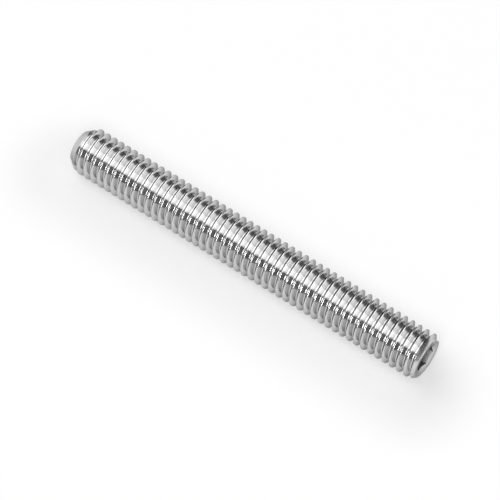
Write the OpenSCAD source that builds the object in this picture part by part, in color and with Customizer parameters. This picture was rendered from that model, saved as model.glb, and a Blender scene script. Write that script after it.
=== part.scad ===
// Hexagon socket set screw with a flat point, threaded over its whole length.
// It lies on its side: the axis is X, the flat point faces -X at the origin,
// the socket opens toward +X, and Z is up. Sizes are in millimetres.

/* [Thread] */
// Major diameter, over the crests
thread_d = 6; // [5:0.25:8]
// Pitch, the advance of one turn
thread_pitch = 1; // [0.8:0.05:1.25]
// Share of the pitch that is flat crest
crest_share = 0.125; // [0.08:0.005:0.2]
// Share of the pitch that is flat root
root_share = 0.165; // [0.12:0.005:0.25]
// Angle between a flank and a plane square to the axis
flank_angle = 30; // [27:0.5:33]
// Straight facets in one turn
thread_facets = 24; // [16:4:24]

/* [Length] */
// Length over both ends
screw_length = 50; // [15:1:60]

/* [Flat point] */
// Diameter of the flat face that bears on the work
point_d = 4; // [3:0.1:4.5]
// Length of the cone from the flat face to the full thread
point_length = 1.3; // [0.8:0.1:2]

/* [Socket end] */
// Outer diameter of the flat rim around the socket
rim_d = 5.1; // [4.6:0.1:5.6]
// Length of the chamfer from the rim to the full thread
rim_length = 0.6; // [0.3:0.05:1]

/* [Hexagon socket] */
// Distance across the flats
socket_flats = 3; // [2:0.1:3.4]
// Depth of the hexagon below the rim
socket_depth = 3.5; // [2:0.25:6]
// Diameter of the countersink at the mouth
mouth_d = 3.9; // [3.6:0.05:4.3]
// Included angle of the countersink
mouth_angle = 120; // [90:5:130]
// Diameter of the pilot drilling, as a share of the flats
pilot_share = 0.94; // [0.7:0.01:0.98]
// Included angle of the pilot's drill tip
pilot_angle = 118; // [90:2:140]

/* [Hidden] */

// How far a cut or an overlong blank reaches past the finished surface
overrun = thread_pitch / 2;

// Thread section: flat crest, flat root and two equal flanks in one pitch
crest_flat = thread_pitch * crest_share;
root_flat = thread_pitch * root_share;
flank_run = (thread_pitch - crest_flat - root_flat) / 2;
thread_depth = flank_run / tan(flank_angle);

// The facets lie outside the true circles and touch them at mid-facet
facet_half = 180 / thread_facets;
crest_r = thread_d / 2 / cos(facet_half);
root_r = (thread_d / 2 - thread_depth) / cos(facet_half);

// One pitch of the section as [radius, distance along the axis]
section = [
    [root_r, 0],
    [root_r, root_flat],
    [crest_r, root_flat + flank_run],
    [crest_r, root_flat + flank_run + crest_flat]
];
SECTION_POINTS = len(section);
LAST = SECTION_POINTS - 1;

// The helix starts below the point and ends above the rim by whole turns
thread_start = -thread_pitch - overrun;
thread_turns = ceil(screw_length / thread_pitch) + 3;
thread_steps = thread_turns * thread_facets;

// Radius and lengths that clear the crests where the blank isn't shaped
clear_r = crest_r + overrun;
point_slope = (thread_d - point_d) / 2 / point_length;
rim_slope = (thread_d - rim_d) / 2 / rim_length;

// Socket
socket_corners = socket_flats / cos(30);
pilot_d = socket_flats * pilot_share;
pilot_tip = pilot_d / 2 / tan(pilot_angle / 2);
mouth_tip = mouth_d / 2 / tan(mouth_angle / 2);

$fn = 96;

// Point j of the section after i steps along the helix
function helix_point(i, j) = [
    section[j][0] * cos(i * 360 / thread_facets),
    section[j][0] * sin(i * 360 / thread_facets),
    thread_start + i * thread_pitch / thread_facets + section[j][1]
];

// Place of that point in the list of points
function at(i, j) = i * SECTION_POINTS + j;

// Threaded rod along Z, longer than the screw at both ends, right-handed
module threaded_rod() {
    grid = [for (i = [0 : thread_steps]) for (j = [0 : LAST]) helix_point(i, j)];
    foot = len(grid);
    top = foot + 1;
    axis_ends = [
        [0, 0, helix_point(0, 0)[2]],
        [0, 0, helix_point(thread_steps, LAST)[2]]
    ];

    // Root, first flank and crest of every step
    strips = [
        for (i = [0 : thread_steps - 1]) for (j = [0 : LAST - 1])
            [at(i, j), at(i, j + 1), at(i + 1, j + 1), at(i + 1, j)]
    ];
    // Second flank, from a crest to the root one turn on
    flanks = [
        for (i = [0 : thread_steps - thread_facets - 1])
            [at(i, LAST), at(i + thread_facets, 0), at(i + thread_facets + 1, 0), at(i + 1, LAST)]
    ];
    // Each end closes from its open edge to the axis
    foot_edge = concat(
        [for (i = [0 : thread_facets]) at(i, 0)],
        [for (j = [LAST : -1 : 1]) at(0, j)]
    );
    last_turn = thread_steps - thread_facets;
    top_edge = concat(
        [for (i = [last_turn : thread_steps]) at(i, LAST)],
        [for (j = [LAST - 1 : -1 : 0]) at(thread_steps, j)]
    );
    foot_cap = [
        for (k = [0 : len(foot_edge) - 1])
            [foot, foot_edge[k], foot_edge[(k + 1) % len(foot_edge)]]
    ];
    top_cap = [
        for (k = [0 : len(top_edge) - 1])
            [top, top_edge[(k + 1) % len(top_edge)], top_edge[k]]
    ];

    polyhedron(
        points = concat(grid, axis_ends),
        faces = concat(strips, flanks, foot_cap, top_cap)
    );
}

// Turned blank along Z: flat point, cone, clear of the crests, chamfer and rim
module turned_blank() {
    point_reach = (clear_r - point_d / 2) / point_slope;
    rim_reach = (clear_r - rim_d / 2) / rim_slope;
    rotate_extrude()
        polygon([
            [0, 0],
            [point_d / 2, 0],
            [clear_r, point_reach],
            [clear_r, screw_length - rim_reach],
            [rim_d / 2, screw_length],
            [0, screw_length]
        ]);
}

// Hexagon broached over a drilled pilot, with a countersunk mouth
module socket_cut() {
    translate([0, 0, screw_length - socket_depth]) {
        cylinder(d = socket_corners, h = socket_depth + overrun, $fn = 6);
        translate([0, 0, -pilot_tip])
            cylinder(d1 = 0, d2 = pilot_d, h = pilot_tip);
        cylinder(d = pilot_d, h = socket_depth);
    }
    translate([0, 0, screw_length - mouth_tip])
        cylinder(d1 = 0, d2 = mouth_d, h = mouth_tip);
}

// Laid along X with one facet of the crests flat underneath
module set_screw() {
    color("Silver")
        rotate([0, 90, 0])
            rotate([0, 0, facet_half])
                difference() {
                    intersection() {
                        threaded_rod();
                        turned_blank();
                    }
                    socket_cut();
                }
}

set_screw();
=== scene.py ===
# %% [markdown]
# A hexagon socket set screw is a short length of threaded steel with no head. One end has a six-sided
# socket for a key, and the other is coned down to a flat face that presses on a shaft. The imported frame
# holds its true sizes, so it is loaded first and everything below is measured from it.

# %% Load the frame
import math

import bpy
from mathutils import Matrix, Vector


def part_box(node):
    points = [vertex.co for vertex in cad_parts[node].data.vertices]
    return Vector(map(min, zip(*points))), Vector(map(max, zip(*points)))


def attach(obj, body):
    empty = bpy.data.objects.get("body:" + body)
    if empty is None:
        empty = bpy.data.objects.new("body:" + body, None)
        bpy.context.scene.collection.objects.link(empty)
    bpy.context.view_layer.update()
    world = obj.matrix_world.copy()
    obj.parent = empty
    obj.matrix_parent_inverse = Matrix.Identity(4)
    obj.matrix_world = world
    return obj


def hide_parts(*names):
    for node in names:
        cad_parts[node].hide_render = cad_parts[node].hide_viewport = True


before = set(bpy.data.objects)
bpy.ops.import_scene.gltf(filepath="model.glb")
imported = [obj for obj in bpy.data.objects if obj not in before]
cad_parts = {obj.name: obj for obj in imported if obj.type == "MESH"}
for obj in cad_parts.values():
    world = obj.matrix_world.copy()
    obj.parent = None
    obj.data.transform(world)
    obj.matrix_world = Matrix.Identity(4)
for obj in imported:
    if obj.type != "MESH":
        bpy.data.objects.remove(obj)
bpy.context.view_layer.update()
low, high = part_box("set_screw")
MM = 0.001
LENGTH = high.x - low.x
MAJOR_R = (high.z - low.z) / 2
FLOOR_Z = low.z
print(f"screw {LENGTH / MM:.1f} mm long, {MAJOR_R * 2 / MM:.2f} mm over the crests")

# %% [markdown]
# The remaining sizes are those of a 6 mm coarse thread, in metres. The crests and the roots of a rolled
# thread are rounded, because the dies press the metal and do not cut it, so each gets a radius here.

# %% Sizes of the thread
PITCH = 1.0 * MM
CREST_FLAT = 0.125 * PITCH
ROOT_FLAT = 0.165 * PITCH
FLANK_ANGLE = math.radians(30)
CREST_RADIUS = 0.045 * PITCH
ROOT_RADIUS = 0.05 * PITCH

flank_run = (PITCH - CREST_FLAT - ROOT_FLAT) / 2
thread_depth = flank_run / math.tan(FLANK_ANGLE)
ROOT_R = MAJOR_R - thread_depth
print(f"thread {thread_depth / MM:.3f} mm deep over a root of {ROOT_R * 2 / MM:.2f} mm")

# %% [markdown]
# One pitch of the thread, seen in section, is a root, a flank, a crest and a second flank. Its four corners
# get their radii here, as arcs in the outline. A Bevel on the finished thread would have to find thousands
# of edges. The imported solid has 24 facets a turn and is turned by half of one, so the outline starts that
# little bit earlier along the axis, and the two threads stay in step.

# %% Section of one turn
ARC_STEPS = 3
SOLID_FACETS = 24
FACET_HALF = math.pi / SOLID_FACETS
TURNS_BELOW = 1.5


def rounded(before, corner, after, radius):
    """Points of an arc that replaces a corner of an outline."""
    corner = Vector(corner)
    first = (Vector(before) - corner).normalized()
    second = (Vector(after) - corner).normalized()
    half = first.angle(second) / 2
    centre = corner + (first + second).normalized() * radius / math.sin(half)
    start = corner + first * radius / math.tan(half) - centre
    end = corner + second * radius / math.tan(half) - centre
    sweep = start.angle(end)
    points = []
    for step in range(ARC_STEPS + 1):
        share = step / ARC_STEPS
        part = (start * math.sin((1 - share) * sweep) + end * math.sin(share * sweep)) / math.sin(sweep)
        points.append(tuple(centre + part))
    return points


thread_start = -TURNS_BELOW * PITCH - PITCH * FACET_HALF / math.tau
root_end = thread_start + ROOT_FLAT
crest_start = root_end + flank_run
crest_end = crest_start + CREST_FLAT
next_start = thread_start + PITCH
next_root_end = next_start + ROOT_FLAT
corners = [
    (root_end, ROOT_R),
    (crest_start, MAJOR_R),
    (crest_end, MAJOR_R),
    (next_start, ROOT_R),
    (next_root_end, ROOT_R),
]
corner_radii = (ROOT_RADIUS, CREST_RADIUS, CREST_RADIUS, ROOT_RADIUS)
section = []
before = (thread_start, ROOT_R)
for corner, after, radius in zip(corners, corners[1:], corner_radii):
    section += rounded(before, corner, after, radius)
    before = corner
section.append((section[0][0] + PITCH, ROOT_R))
print(f"section of {len(section)} points")

# %% [markdown]
# An outline is a chain of edges beside the axis. By hand it is one vertex, extruded from point to point,
# and the helper below uses the same operators. A curve would do too, but it would have to be made a mesh
# before it could be cut.

# %% Draw the section
def select_only(piece):
    """Make one object the only selected and active one."""
    bpy.ops.object.select_all(action="DESELECT")
    piece.select_set(True)
    bpy.context.view_layer.objects.active = piece


def outline_point(along, radius):
    """A point of an outline: a distance along the axis X and a radius, drawn straight down."""
    return Vector((along, 0, -radius))


def draw_outline(name, outline):
    """A chain of edges through pairs of distance and radius, extruded from a single vertex."""
    bpy.ops.object.select_all(action="DESELECT")
    bpy.ops.mesh.primitive_plane_add(size=PITCH)
    piece = bpy.context.object
    piece.name = name
    bpy.ops.object.mode_set(mode="EDIT")
    bpy.ops.mesh.select_all(action="SELECT")
    bpy.ops.mesh.merge(type="CENTER")
    reached = outline_point(*outline[0])
    bpy.ops.transform.translate(value=reached)
    for along, radius in outline[1:]:
        target = outline_point(along, radius)
        bpy.ops.mesh.extrude_vertices_move(TRANSFORM_OT_translate={"value": target - reached})
        reached = target
    bpy.ops.object.mode_set(mode="OBJECT")
    return piece


screw_body = draw_outline("set_screw_body", section)
print(f"outline of {len(screw_body.data.edges)} edges")

# %% [markdown]
# The thread is that section, swept along a helix. A stack of rings would be quicker and would look alike
# from far off, but a real thread climbs and its turns lean. The Screw modifier turns and lifts the outline
# at once, for as many turns as are asked for, and with no lift it turns plain round forms as well.

# %% Sweep the thread
TURN_STEPS = 80
SPARE_TURNS = 3
THREAD_TURNS = math.ceil(LENGTH / PITCH) + SPARE_TURNS
MERGE = 0.0005 * MM


def revolve(piece, rise=0.0, turns=1, steps=TURN_STEPS):
    """Turn an outline about X with the Screw modifier, then join what meets."""
    select_only(piece)
    screw = piece.modifiers.new("Revolve", "SCREW")
    screw.axis = "X"
    screw.angle = math.tau
    screw.screw_offset = rise
    screw.iterations = turns
    screw.steps = steps
    screw.render_steps = steps
    bpy.ops.object.modifier_apply(modifier=screw.name)
    bpy.ops.object.mode_set(mode="EDIT")
    bpy.ops.mesh.select_all(action="SELECT")
    bpy.ops.mesh.remove_doubles(threshold=MERGE)
    bpy.ops.mesh.normals_make_consistent(inside=False)
    bpy.ops.object.mode_set(mode="OBJECT")


revolve(screw_body, rise=PITCH, turns=THREAD_TURNS)
print(f"thread of {THREAD_TURNS} turns, {len(screw_body.data.polygons)} faces")

# %% [markdown]
# The helix starts before the point and ends beyond the rim, and both of its ends are ragged. Bisect slices
# them off square, just outside the finished length, and fills the cuts. The mesh is then a closed solid,
# which a Boolean needs.

# %% Slice the ends off
TRIM = 0.3 * PITCH
for cut_place, clear_inner in ((-TRIM, True), (LENGTH + TRIM, False)):
    bpy.ops.object.mode_set(mode="EDIT")
    bpy.ops.mesh.select_all(action="SELECT")
    bpy.ops.mesh.bisect(
        plane_co=(cut_place, 0, 0),
        plane_no=(1, 0, 0),
        use_fill=True,
        clear_inner=clear_inner,
        clear_outer=not clear_inner,
        threshold=MERGE,
    )
    bpy.ops.object.mode_set(mode="OBJECT")
print(f"rod {screw_body.dimensions.x / MM:.2f} mm long, {len(screw_body.data.polygons)} faces")

# %% [markdown]
# A real screw starts as a turned blank: a flat face and a cone at one end, and a flat rim with a chamfer at
# the other. The same revolve makes it. Its edges have small radii, so that they catch the light as a turned
# edge does. Between the ends it is wider than the crests, so that it leaves them whole.

# %% Turned blank
BLANK_STEPS = 192
POINT_R = 2.0 * MM
POINT_LENGTH = 1.3 * MM
RIM_R = 2.55 * MM
RIM_LENGTH = 0.6 * MM
EDGE_RADIUS = 0.07 * MM

clear_r = MAJOR_R + PITCH / 2
point_reach = POINT_LENGTH * (clear_r - POINT_R) / (MAJOR_R - POINT_R)
rim_reach = RIM_LENGTH * (clear_r - RIM_R) / (MAJOR_R - RIM_R)
blank_outline = [
    (0, 0),
    *rounded((0, 0), (0, POINT_R), (point_reach, clear_r), EDGE_RADIUS),
    (point_reach, clear_r),
    (LENGTH - rim_reach, clear_r),
    *rounded((LENGTH - rim_reach, clear_r), (LENGTH, RIM_R), (LENGTH, 0), EDGE_RADIUS),
    (LENGTH, 0),
]
blank = draw_outline("blank", blank_outline)
revolve(blank, steps=BLANK_STEPS)
print(f"blank with {len(blank.data.polygons)} faces")

# %% [markdown]
# The socket is drilled, countersunk and then broached to a hexagon. Each tool is a solid of its own, so
# that the cuts come in the order of a workshop. The drill and the countersink are round, and the revolve
# makes both. They reach a little past the rim, because faces that only just meet confuse a Boolean.

# %% Drill and countersink
SOCKET_FLATS = 3.0 * MM
SOCKET_DEPTH = 3.5 * MM
PILOT_R = 0.47 * SOCKET_FLATS
PILOT_ANGLE = math.radians(118)
MOUTH_R = 1.95 * MM
MOUTH_ANGLE = math.radians(120)
OVERRUN = 0.5 * PITCH

mouth_slope = math.tan(MOUTH_ANGLE / 2)
pilot_tip = PILOT_R / math.tan(PILOT_ANGLE / 2)
mouth_tip = MOUTH_R / mouth_slope
mouth_out = (OVERRUN + mouth_tip) * mouth_slope
drill = draw_outline("drill", [
    (LENGTH - SOCKET_DEPTH - pilot_tip, 0),
    (LENGTH - SOCKET_DEPTH, PILOT_R),
    (LENGTH + OVERRUN, PILOT_R),
    (LENGTH + OVERRUN, 0),
])
revolve(drill, steps=BLANK_STEPS)
countersink = draw_outline("countersink", [
    (LENGTH - mouth_tip, 0),
    (LENGTH + OVERRUN, mouth_out),
    (LENGTH + OVERRUN, 0),
])
revolve(countersink, steps=BLANK_STEPS)
print(f"drill of {PILOT_R * 2 / MM:.2f} mm, countersink of {MOUTH_R * 2 / MM:.2f} mm")

# %% [markdown]
# The broach is a hexagonal bar. A cylinder with six sides is turned onto the axis, and its six long edges
# are bevelled, because a real broach has no perfectly sharp corners and neither has the hole it leaves.

# %% Broach
HEX_SIDES = 6
HEX_HALF = math.pi / HEX_SIDES
QUARTER_TURN = math.pi / 2
SOCKET_CORNER_RADIUS = 0.08 * MM

bpy.ops.object.select_all(action="DESELECT")
bpy.ops.mesh.primitive_cylinder_add(
    vertices=HEX_SIDES,
    radius=SOCKET_FLATS / 2 / math.cos(HEX_HALF),
    depth=SOCKET_DEPTH + OVERRUN,
    rotation=(0, 0, FACET_HALF - HEX_HALF),
)
broach = bpy.context.object
broach.name = "broach"
bpy.ops.object.transform_apply(location=True, rotation=True, scale=True)
broach.rotation_euler = (0, QUARTER_TURN, 0)
broach.location = (LENGTH + (OVERRUN - SOCKET_DEPTH) / 2, 0, 0)
bpy.ops.object.transform_apply(location=True, rotation=True, scale=True)
bpy.ops.object.mode_set(mode="EDIT")
bpy.ops.mesh.select_mode(type="EDGE")
bpy.ops.mesh.select_all(action="DESELECT")
bpy.ops.object.mode_set(mode="OBJECT")
for edge in broach.data.edges:
    one, two = (broach.data.vertices[v].co for v in edge.vertices)
    edge.select = abs(one.x - two.x) > SOCKET_DEPTH
bpy.ops.object.mode_set(mode="EDIT")
bpy.ops.mesh.bevel(offset=SOCKET_CORNER_RADIUS, segments=ARC_STEPS)
bpy.ops.mesh.select_mode(type="VERT")
bpy.ops.object.mode_set(mode="OBJECT")
print(f"broach with {len(broach.data.polygons)} faces")

# %% [markdown]
# A Boolean modifier takes each tool out of the blank. The Manifold solver is fast and exact on closed
# meshes, and every tool here is one. A tool is thrown away after its cut.

# %% Cut the socket
def cut(piece, tool, operation):
    """Apply one Boolean and throw the tool away."""
    select_only(piece)
    boolean = piece.modifiers.new(operation.title(), "BOOLEAN")
    boolean.operation = operation
    boolean.solver = "MANIFOLD"
    boolean.object = tool
    bpy.ops.object.modifier_apply(modifier=boolean.name)
    bpy.data.objects.remove(tool, do_unlink=True)


cut(blank, drill, "DIFFERENCE")
cut(blank, countersink, "DIFFERENCE")
cut(blank, broach, "DIFFERENCE")
print(f"blank with socket, {len(blank.data.polygons)} faces")

# %% [markdown]
# The thread and the blank now meet: what both share is the screw. The Boolean leaves the thread running
# out into the cone and the chamfer, as it does on the real one. Smooth shading by angle keeps the cut
# edges crisp and the rounded crests soft.

# %% Thread the blank
SMOOTH_ANGLE = math.radians(32)
cut(screw_body, blank, "INTERSECT")
select_only(screw_body)
bpy.ops.object.mode_set(mode="EDIT")
bpy.ops.mesh.select_all(action="SELECT")
bpy.ops.mesh.remove_doubles(threshold=MERGE)
bpy.ops.mesh.dissolve_degenerate(threshold=MERGE)
bpy.ops.mesh.quads_convert_to_tris()
bpy.ops.mesh.normals_make_consistent(inside=False)
bpy.ops.object.mode_set(mode="OBJECT")
bpy.ops.object.shade_smooth_by_angle(angle=SMOOTH_ANGLE)
print(f"screw with {len(screw_body.data.polygons)} triangles")

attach(screw_body, "root")
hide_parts("set_screw")

# %% [markdown]
# Shader maths reads better as Python than as a web of nodes. This small class holds a socket, and each
# operator on it adds one Math node, so that an expression builds the network by itself.

# %% Shader maths
class Signal:
    """A shader socket that takes part in expressions."""

    def __init__(self, tree, socket=None):
        self.tree = tree
        self.socket = socket

    def node(self, kind, settings=None, inputs=None, output=0):
        """Add a node: its settings first, then the values or links of its sockets."""
        made = self.tree.nodes.new(kind)
        for name, value in (settings or {}).items():
            setattr(made, name, value)
        for name, value in (inputs or {}).items():
            if isinstance(value, Signal):
                self.tree.links.new(value.socket, made.inputs[name])
            else:
                made.inputs[name].default_value = value
        return Signal(self.tree, made.outputs[output] if made.outputs else None)

    def output(self, name):
        """Another output of the node that this socket belongs to."""
        return Signal(self.tree, self.socket.node.outputs[name])

    def maths(self, operation, *values):
        """One Math node on numbers and signals."""
        return self.node("ShaderNodeMath", {"operation": operation}, dict(enumerate(values)))

    def __add__(self, other):
        return self.maths("ADD", self, other)

    def __radd__(self, other):
        return self.maths("ADD", other, self)

    def __sub__(self, other):
        return self.maths("SUBTRACT", self, other)

    def __rsub__(self, other):
        return self.maths("SUBTRACT", other, self)

    def __mul__(self, other):
        return self.maths("MULTIPLY", self, other)

    def __rmul__(self, other):
        return self.maths("MULTIPLY", other, self)

    def ramp(self, low_value, high_value):
        """0 below one value, 1 above the other, smooth between."""
        settings = {"interpolation_type": "SMOOTHSTEP"}
        inputs = {"Value": self, "From Min": low_value, "From Max": high_value}
        return self.node("ShaderNodeMapRange", settings, inputs)


def new_material(name):
    """An empty node material and the Signal that adds nodes to it."""
    material = bpy.data.materials.new(name)
    material.use_nodes = True
    material.node_tree.nodes.clear()
    return material, Signal(material.node_tree)


def plain_grey(value):
    """The same number for red, green and blue, as a colour socket takes it."""
    return (value, value, value, 1.0)


steel, sig = new_material("bright_steel")
print(f"{steel.name} is ready for its nodes")

# %% [markdown]
# The steel is bright and nearly colourless. What tells the eye how it was made is small, and it differs by
# place: the thread was rolled, both ends were turned and the socket was broached. Painting those areas by
# hand would need an unwrapped mesh. Here they are masks, worked out from Object coordinates that become a
# distance along the axis, a radius and an angle about it.

# %% Where things are on the steel
EDGE_FADE = 0.05 * MM
spot = sig.node("ShaderNodeTexCoord", output="Object")
split = sig.node("ShaderNodeSeparateXYZ", inputs={"Vector": spot})
along = split.output("X")
side = split.output("Y")
height = split.output("Z")
radius = sig.maths("SQRT", side * side + height * height)
angle = sig.maths("ARCTAN2", height, side)

raised = radius.ramp(ROOT_R + EDGE_FADE, MAJOR_R - EDGE_FADE)
near_point = 1 - along.ramp(POINT_LENGTH / 2, POINT_LENGTH)
near_rim = along.ramp(LENGTH - RIM_LENGTH, LENGTH - RIM_LENGTH / 2)
deep = along.ramp(LENGTH - SOCKET_DEPTH - 2 * pilot_tip, LENGTH - SOCKET_DEPTH - pilot_tip)
above_cone = along - LENGTH + (MOUTH_R - radius) * (1 / mouth_slope)
broached = 1 - above_cone.ramp(-EDGE_FADE, -EDGE_FADE / 2)
in_socket = deep * broached * (1 - radius.ramp(MOUTH_R - EDGE_FADE, MOUTH_R))
turned = sig.maths("MAXIMUM", near_point, near_rim) * (1 - in_socket)
rolled = (1 - turned) * (1 - in_socket)
print(f"coordinates and masks take {len(steel.node_tree.nodes)} nodes")

# %% [markdown]
# Each tool leaves its own marks: fine lines along the helix where the dies rolled, rings about the axis
# where the ends were turned, and lines along the walls of the socket where the broach passed. Noise makes
# them all. It is squeezed across the tool's path and stretched along it. A last, even noise stands for
# handling.

# %% Marks left by the tools
NOISE_ROUGHNESS = 0.6
NOISE_MIDDLE = 0.5
ROLLING_SCALE = 16000.0
RING_SCALE = 9000.0
BROACH_SCALE = 8000.0
HANDLING_SCALE = 900.0
LINE_DETAIL = 3.0
BROACH_DETAIL = 2.0
HANDLING_DETAIL = 4.0
HELIX_STRETCH = 0.05 * MM
BROACH_WIDTH = 1.0 * MM
BROACH_STRETCH = 0.03


def marks(x, y, z, scale, detail):
    """Noise about zero on three coordinates, each stretched as the tool moved."""
    at = sig.node("ShaderNodeCombineXYZ", inputs={"X": x, "Y": y, "Z": z})
    inputs = {"Vector": at, "Scale": scale, "Detail": detail, "Roughness": NOISE_ROUGHNESS}
    return sig.node("ShaderNodeTexNoise", inputs=inputs) - NOISE_MIDDLE


helix = along - angle * (PITCH / math.tau)
rolling_lines = marks(helix, radius, angle * HELIX_STRETCH, ROLLING_SCALE, LINE_DETAIL)
turning_rings = marks(along, radius, 0.0, RING_SCALE, LINE_DETAIL)
broach_lines = marks(angle * BROACH_WIDTH, along * BROACH_STRETCH, 0.0, BROACH_SCALE, BROACH_DETAIL)
handling = marks(along, side, height, HANDLING_SCALE, HANDLING_DETAIL)
rolled_part = rolling_lines * rolled
turned_part = turning_rings * turned
broached_part = broach_lines * in_socket
lines = rolled_part + turned_part + broached_part
print(f"with the marks there are {len(steel.node_tree.nodes)} nodes")

# %% [markdown]
# The crests are burnished, so they are lighter and smoother. The roots are darker, partly from a film that
# stays in them and partly as painted shade for the dark grooves between the turns, so both the grey and the
# roughness follow the radius. The marks change both a little, and a shallow bump as well. Towards its
# outline, where it is seen at a low angle, this steel mirrors less, and the edge tint of the shader gives
# that, strongly enough that it also paints shade along the outline. The socket is painted darker as well,
# as shade inside the hollow.

# %% Steel
# Painted shade: the roots are greyer than the crests, partly a film and partly shade painted into the
# grooves.
SHADED_ROOT_GREY = 0.54
CREST_GREY = 0.64
TURNED_GREY = 0.64
# Painted shade: the walls of the socket are painted darker than the rest of the steel.
SHADED_SOCKET_GREY = 0.38
MARK_GREY = 0.08
RING_GREY = 0.3
BROACH_GREY = 0.3
ROLLED_GLOSS = 0.15
CREST_GLOSS = 0.11
TURNED_GLOSS = 0.22
SOCKET_GLOSS = 0.36
MARK_GLOSS = 0.10
RING_DEPTH = 5.0
BROACH_DEPTH = 4.0
HANDLING_DEPTH = 0.5
BUMP_STRENGTH = 0.05
BUMP_DISTANCE = 0.02 * MM
# Partly painted shade: a strong edge tint that darkens the steel along its outline, beyond what the metal
# does.
OUTLINE_SHADE_TINT = 0.42

# Crest to root grey, with the painted shade of the grooves in the roots.
rolled_grey_and_root_shade = SHADED_ROOT_GREY + raised * (CREST_GREY - SHADED_ROOT_GREY)
grey = rolled_grey_and_root_shade * rolled + turned * TURNED_GREY + in_socket * SHADED_SOCKET_GREY
grey = grey + (handling + lines) * MARK_GREY
grey = grey + turned_part * RING_GREY + broached_part * BROACH_GREY
rolled_gloss = ROLLED_GLOSS + raised * (CREST_GLOSS - ROLLED_GLOSS)
gloss = rolled_gloss * rolled + turned * TURNED_GLOSS + in_socket * SOCKET_GLOSS
gloss = gloss + (handling + lines) * MARK_GLOSS
relief = rolled_part + turned_part * RING_DEPTH + broached_part * BROACH_DEPTH + handling * HANDLING_DEPTH
steel_colour = sig.node("ShaderNodeCombineColor", inputs={"Red": grey, "Green": grey, "Blue": grey})
bump = sig.node(
    "ShaderNodeBump",
    inputs={"Strength": BUMP_STRENGTH, "Distance": BUMP_DISTANCE, "Height": relief},
)
surface = sig.node(
    "ShaderNodeBsdfPrincipled",
    inputs={
        "Base Color": steel_colour,
        "Metallic": 1.0,
        "Roughness": gloss,
        "Normal": bump,
        "Specular Tint": plain_grey(OUTLINE_SHADE_TINT),
    },
)
sig.node("ShaderNodeOutputMaterial", inputs={"Surface": surface})
screw_body.data.materials.clear()
screw_body.data.materials.append(steel)
print(f"steel uses {len(steel.node_tree.nodes)} nodes")

# %% [markdown]
# The screw lies on white paper. Part of the white is a glow that no shadow changes, and the rest is an
# ordinary matt surface that takes the shadow. Close to the screw the glow is weak, so that the contact
# shadow stays, and further out it is strong, so that the paper is white. The weak glow also greys the paper
# itself in a halo around the screw, shifted towards the camera: painted shade that widens the real shadow.
# Rays from the camera and rays that the metal mirrors both see it, so the metal shows the same paper as the
# picture does.

# %% Floor
FLOOR_SIZE = 4.0
PAPER_GREY = 0.8
WHITE = plain_grey(1.0)
# Painted shade: the weak glow near the screw greys the paper in a halo around it.
NEAR_GLOW = 0.25
FAR_GLOW = 0.97
PAINTED_SHADE_SHIFT = 2.5 * MM
GLOW_START = 2.5 * MM
GLOW_END = 10 * MM


def seen_or_mirrored(sig):
    """1 for rays from the camera and for rays that metal or glass sends on, 0 for the rest."""
    rays = sig.node("ShaderNodeLightPath")
    sent_on = sig.maths("MAXIMUM", rays.output("Is Glossy Ray"), rays.output("Is Transmission Ray"))
    return sig.maths("MAXIMUM", rays.output("Is Camera Ray"), sent_on)


bpy.ops.object.select_all(action="DESELECT")
bpy.ops.mesh.primitive_plane_add(size=FLOOR_SIZE, location=(LENGTH / 2, 0, FLOOR_Z))
floor = bpy.context.object
floor.name = "floor"
bpy.ops.object.transform_apply(location=True, rotation=True, scale=True)
paper, sig = new_material("white_paper")
spot = sig.node("ShaderNodeTexCoord", output="Object")
split = sig.node("ShaderNodeSeparateXYZ", inputs={"Vector": spot})
past_middle = sig.maths("ABSOLUTE", split.output("X") - LENGTH / 2)
past_end = sig.maths("MAXIMUM", past_middle - LENGTH / 2, 0.0)
# The halo of painted shade is shifted towards the camera's side, as a shadow from light at the back would
# be.
past_side = split.output("Y") + PAINTED_SHADE_SHIFT
away = sig.maths("SQRT", past_end * past_end + past_side * past_side)
glow_share = NEAR_GLOW + away.ramp(GLOW_START, GLOW_END) * (FAR_GLOW - NEAR_GLOW)
matt = sig.node("ShaderNodeBsdfDiffuse", inputs={"Color": plain_grey(PAPER_GREY)})
glow = sig.node("ShaderNodeEmission", inputs={"Color": WHITE, "Strength": 1.0})
share = seen_or_mirrored(sig) * glow_share
mixed = sig.node("ShaderNodeMixShader", inputs={0: share, 1: matt, 2: glow})
sig.node("ShaderNodeOutputMaterial", inputs={"Surface": mixed})
floor.data.materials.append(paper)
print(f"paper {FLOOR_SIZE:.0f} m wide, {len(paper.node_tree.nodes)} nodes")

# %% [markdown]
# Metal shows its surroundings more than its own colour, so what stands around the screw is chosen as in a
# studio. A wide panel overhead gives the white band along the top, a small bright one in front gives the
# spots in the roots, and a soft one at the back lights the far crests. A panel is given as a brightness,
# and the lamp's power follows from its area.

# %% Light panels
OVERHEAD_TURN = math.radians(-10)
middle = Vector((LENGTH / 2, 0, 0))


def light_panel(name, place, size, brightness):
    """A rectangular lamp that faces the screw, placed from the middle of its length."""
    bpy.ops.object.light_add(type="AREA", location=middle + Vector(place))
    lamp = bpy.context.object
    lamp.name = name
    lamp.data.shape = "RECTANGLE"
    lamp.data.size, lamp.data.size_y = size
    lamp.data.energy = brightness * math.pi * size[0] * size[1]
    lamp.rotation_euler = (-Vector(place)).to_track_quat("-Z", "Y").to_euler()
    lamp.visible_camera = False
    print(f"{name} panel of {lamp.data.energy:.2f} W")
    return lamp


overhead = light_panel("overhead", place=(-0.11, -0.11, 0.40), size=(1.07, 0.28), brightness=1.55)
overhead.rotation_euler = (0, 0, OVERHEAD_TURN)
light_panel("front", place=(0.135, -0.40, 0.30), size=(0.17, 0.24), brightness=14.0)
light_panel("far_left", place=(-0.26, 0.25, 0.34), size=(0.38, 0.50), brightness=0.9)

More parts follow.
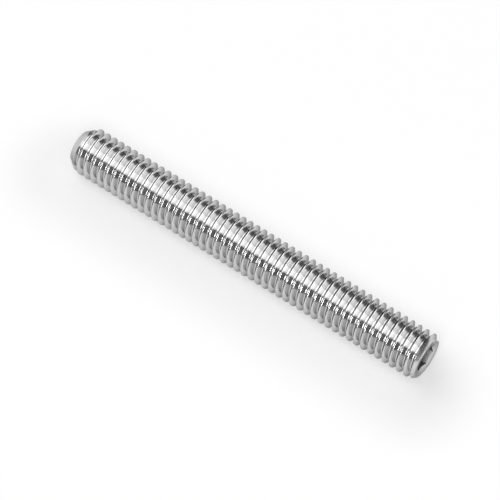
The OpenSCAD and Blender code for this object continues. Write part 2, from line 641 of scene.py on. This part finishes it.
# %% [markdown]
# In an all-white room bright metal would look flat. Photographers stand dark cards around it, just outside
# the picture, and the cards make the dark strokes between the turns. Here only reflections see the cards:
# they throw no shadow on the paper and don't show in the picture.

# %% Dark cards
CARD_GREY = 0.3
CARDS = [
    ("back_card", (0.10, 0.42, 0.19), (1.1, 0.39)),
    ("near_card", (-0.16, -0.415, 0.323), (0.34, 0.48)),
    ("left_card", (-0.46, -0.02, 0.20), (0.62, 0.32)),
    ("right_card", (0.46, -0.04, 0.20), (0.60, 0.32)),
]

card_dark, sig = new_material("dark_card")
card_face = sig.node("ShaderNodeBsdfDiffuse", inputs={"Color": plain_grey(CARD_GREY)})
sig.node("ShaderNodeOutputMaterial", inputs={"Surface": card_face})


def dark_card(name, place, size):
    """A dark board that faces the screw and shows only in its reflections."""
    bpy.ops.object.select_all(action="DESELECT")
    bpy.ops.mesh.primitive_plane_add(size=1.0)
    card = bpy.context.object
    card.name = name
    card.scale = (size[0], size[1], 1.0)
    bpy.ops.object.transform_apply(location=True, rotation=True, scale=True)
    card.rotation_euler = Vector(place).to_track_quat("-Z", "Y").to_euler()
    card.location = middle + Vector(place)
    bpy.ops.object.transform_apply(location=True, rotation=True, scale=True)
    card.visible_camera = False
    card.visible_shadow = False
    card.visible_diffuse = False
    card.data.materials.append(card_dark)


for card_name, card_place, card_size in CARDS:
    dark_card(card_name, card_place, card_size)
print(f"{len(CARDS)} dark cards")

# %% [markdown]
# The room beyond is white to the camera and to the metal, as the paper is. On matt surfaces it sheds only a
# dim grey light, so that the shadow on the paper stays.

# %% Room
ROOM_GREY = 0.18
scene = bpy.context.scene
world = bpy.data.worlds.new("room")
scene.world = world
world.use_nodes = True
world.node_tree.nodes.clear()
sig = Signal(world.node_tree)
shows_white = seen_or_mirrored(sig)
dim = sig.node("ShaderNodeBackground", inputs={"Color": plain_grey(ROOM_GREY)})
white = sig.node("ShaderNodeBackground", inputs={"Color": WHITE})
either = sig.node("ShaderNodeMixShader", inputs={0: shows_white, 1: dim, 2: white})
sig.node("ShaderNodeOutputWorld", inputs={"Surface": either})
print(f"room of {len(world.node_tree.nodes)} nodes")

# %% [markdown]
# The camera stands where the photograph's did: high, a little to the socket's side, with a long lens. A
# short lens close by would frame the screw as well, but its near end would swell.

# %% Camera
VIEW_AZIMUTH = math.radians(35.6)
VIEW_ELEVATION = math.radians(59.3)
VIEW_DISTANCE = 0.359
LENS = 220.0
SENSOR = 36.0
NEAREST = 0.01
FARTHEST = 20.0
toward_camera = Vector((math.sin(VIEW_AZIMUTH), -math.cos(VIEW_AZIMUTH), 0))
back = toward_camera * math.cos(VIEW_ELEVATION) + Vector((0, 0, math.sin(VIEW_ELEVATION)))
bpy.ops.object.camera_add(location=middle + back * VIEW_DISTANCE)
camera = bpy.context.object
camera.name = "camera"
camera.data.lens = LENS
camera.data.sensor_width = SENSOR
camera.rotation_mode = "QUATERNION"
camera.rotation_quaternion = (-back).to_track_quat("-Z", "Y")
camera.data.clip_start = NEAREST
camera.data.clip_end = FARTHEST
scene.camera = camera
scene.view_settings.view_transform = "Standard"
print(f"camera {VIEW_DISTANCE / MM:.0f} mm away with a {LENS:.0f} mm lens")
